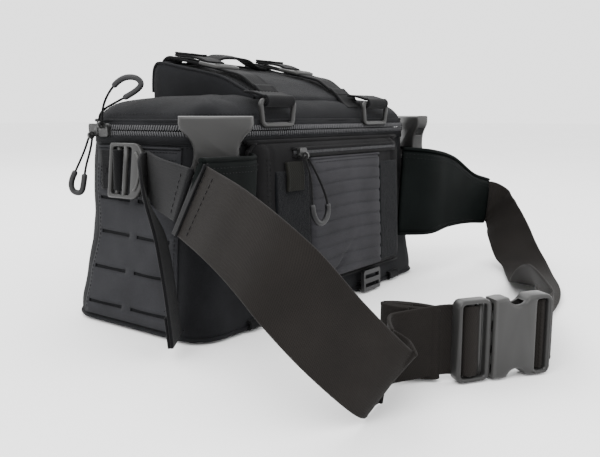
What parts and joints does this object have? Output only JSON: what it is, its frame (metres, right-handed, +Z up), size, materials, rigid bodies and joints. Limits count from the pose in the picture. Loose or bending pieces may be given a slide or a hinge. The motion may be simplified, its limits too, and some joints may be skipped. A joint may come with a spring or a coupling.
{
  "type": "waist pack",
  "caption": "Padded waist pack with a zipped, hinged lid, laser-cut load panels, wing pads and a wide webbing hip belt with a side-release buckle.",
  "frame": {"origin": "centre of the base, on the surface that the pack stands on", "axes": "+X along the pack's width, -Y towards the wearer, +Z up"},
  "size_m": [0.5738, 0.4083, 0.2393],
  "materials": {
    "pack_fabric": "matt, plain-woven nylon",
    "laminate": "matt, laser-cut laminate",
    "stiffener": "matt",
    "foam": "matt, closed-cell foam",
    "pad_fabric": "matt",
    "ribbed_fabric": "matt, ribbed",
    "loop_pile": "fuzzy loop pile",
    "woven_label": "woven, plain",
    "zip": "coil, satin",
    "wing_fabric": "smooth, matt",
    "webbing": "woven webbing",
    "belt_webbing": "woven webbing",
    "buckle_plastic": "satin",
    "slider_metal": "satin black, worn edges",
    "pull_cord": "braided",
    "pull_sleeve": "satin"
  },
  "bodies": {
    "pack": {"base_panel": "pack_fabric", "base_stiffener": "stiffener", "back_wall": "pack_fabric", "side_wall_left": "pack_fabric", "side_wall_right": "pack_fabric", "outer_panel": "pack_fabric", "back_foam": "foam", "molle_panel_left": "laminate", "molle_panel_right": "laminate", "molle_panel_front": "laminate", "back_pad": "pad_fabric", "loop_strip_left": "loop_pile", "loop_strip_right": "loop_pile", "pocket_panel": "ribbed_fabric", "woven_tab": "woven_label", "pocket_zip": "zip", "zip_chain_lower": "zip", "lid_hinge_tape": "pack_fabric", "wing_left": "wing_fabric", "wing_right": "wing_fabric", "lock_anchor_left": "webbing", "lock_anchor_right": "webbing", "stabilizer_strap_left": "webbing", "stabilizer_strap_right": "webbing", "strap_tail_left": "webbing", "strap_tail_right": "webbing", "belt_webbing_left": "belt_webbing", "belt_webbing_right": "belt_webbing", "belt_buckle_female": "buckle_plastic", "shoulder_webbing": "webbing", "bottom_straps": "pack_fabric"},
    "lid": {"lid_panel": "pack_fabric", "lid_hump": "pack_fabric", "zip_chain_upper": "zip", "lid_strap_left": "webbing", "lid_strap_right": "webbing", "strap_adjuster_left": "buckle_plastic", "strap_adjuster_right": "buckle_plastic", "lid_handle": "webbing", "ring_tabs": "webbing"},
    "ring_left_body": {"ring_left": "buckle_plastic"},
    "ring_right_body": {"ring_right": "buckle_plastic"},
    "slider_front_body": {"slider_front": "slider_metal", "pull_cord_front": "pull_cord", "pull_sleeve_front": "pull_sleeve"},
    "slider_rear_body": {"slider_rear": "slider_metal", "pull_cord_rear": "pull_cord", "pull_sleeve_rear": "pull_sleeve"},
    "pocket_slider_body": {"pocket_slider": "slider_metal", "pull_cord_pocket": "pull_cord", "pull_sleeve_pocket": "pull_sleeve"},
    "buckle_male": {"belt_buckle_male": "buckle_plastic", "buckle_webbing_roll": "belt_webbing"},
    "arm_top": {"release_arm_top": "buckle_plastic"},
    "arm_bottom": {"release_arm_bottom": "buckle_plastic"},
    "lock_left": {"ladder_lock_left": "buckle_plastic"},
    "lock_right": {"ladder_lock_right": "buckle_plastic"},
    "shoulder_left": {"shoulder_buckle_left": "buckle_plastic"},
    "shoulder_right": {"shoulder_buckle_right": "buckle_plastic"},
    "bottom_lock_pair": {"bottom_locks": "buckle_plastic"}
  },
  "joints": [
    {"name": "lid_hinge", "type": "hinge", "parent": "pack", "child": "lid", "pos_m": [0, 0.081, 0.1659], "axis": [-1, 0, 0], "range_deg": [0, 105]},
    {"name": "ring_left_swing", "type": "hinge", "parent": "lid", "child": "ring_left_body", "pos_m": [-0.08, -0.0855, 0.1905], "axis": [-1, 0, 0], "range_deg": [0, 75]},
    {"name": "ring_right_swing", "type": "hinge", "parent": "lid", "child": "ring_right_body", "pos_m": [0.08, -0.0855, 0.1905], "axis": [-1, 0, 0], "range_deg": [0, 75]},
    {"name": "zip_front_slide", "type": "slide", "parent": "lid", "child": "slider_front_body", "axis": [0, -1, 0], "range_m": [0, 0.085]},
    {"name": "zip_rear_slide", "type": "slide", "parent": "pack", "child": "slider_rear_body", "axis": [0, -1, 0], "range_m": [0, 0.026]},
    {"name": "pocket_zip_slide", "type": "slide", "parent": "pack", "child": "pocket_slider_body", "axis": [1, 0, 0], "range_m": [0, 0.15]},
    {"name": "belt_buckle_release", "type": "slide", "parent": "pack", "child": "buckle_male", "axis": [-0.829, 0.5592, 0], "range_m": [0, 0.032]},
    {"name": "release_arm_top_press", "type": "hinge", "parent": "buckle_male", "child": "arm_top", "pos_m": [-0.10462, -0.28783, 0.044], "axis": [0.5592, 0.829, 0], "range_deg": [0, 8], "stiffness_Nm_per_rad": 0.6},
    {"name": "release_arm_bottom_press", "type": "hinge", "parent": "buckle_male", "child": "arm_bottom", "pos_m": [-0.10462, -0.28783, 0.014], "axis": [-0.5592, -0.829, 0], "range_deg": [0, 8], "stiffness_Nm_per_rad": 0.6},
    {"name": "ladder_lock_left_tilt", "type": "hinge", "parent": "pack", "child": "lock_left", "pos_m": [-0.17162, 0.02, 0.13314], "axis": [-0.1137, 0, -0.9935], "range_deg": [0, 25]},
    {"name": "ladder_lock_right_tilt", "type": "hinge", "parent": "pack", "child": "lock_right", "pos_m": [0.17162, 0.02, 0.13314], "axis": [-0.1137, 0, 0.9935], "range_deg": [0, 25]},
    {"name": "shoulder_buckle_left_tilt", "type": "hinge", "parent": "pack", "child": "shoulder_left", "pos_m": [-0.157, -0.087, 0.134], "axis": [0.6, -0.8, 0], "range_deg": [0, 10]},
    {"name": "shoulder_buckle_right_tilt", "type": "hinge", "parent": "pack", "child": "shoulder_right", "pos_m": [0.157, -0.087, 0.134], "axis": [0.6, 0.8, 0], "range_deg": [0, 10]},
    {"name": "bottom_locks_tilt", "type": "hinge", "parent": "pack", "child": "bottom_lock_pair", "pos_m": [0, -0.09728, 0.00337], "axis": [-1, 0, 0], "range_deg": [-20, 0]}
  ],
  "couplings": [
    {"joint": "zip_rear_slide", "follows": "zip_front_slide", "ratio": 0.3},
    {"joint": "release_arm_bottom_press", "follows": "release_arm_top_press", "ratio": 1}
  ]
}
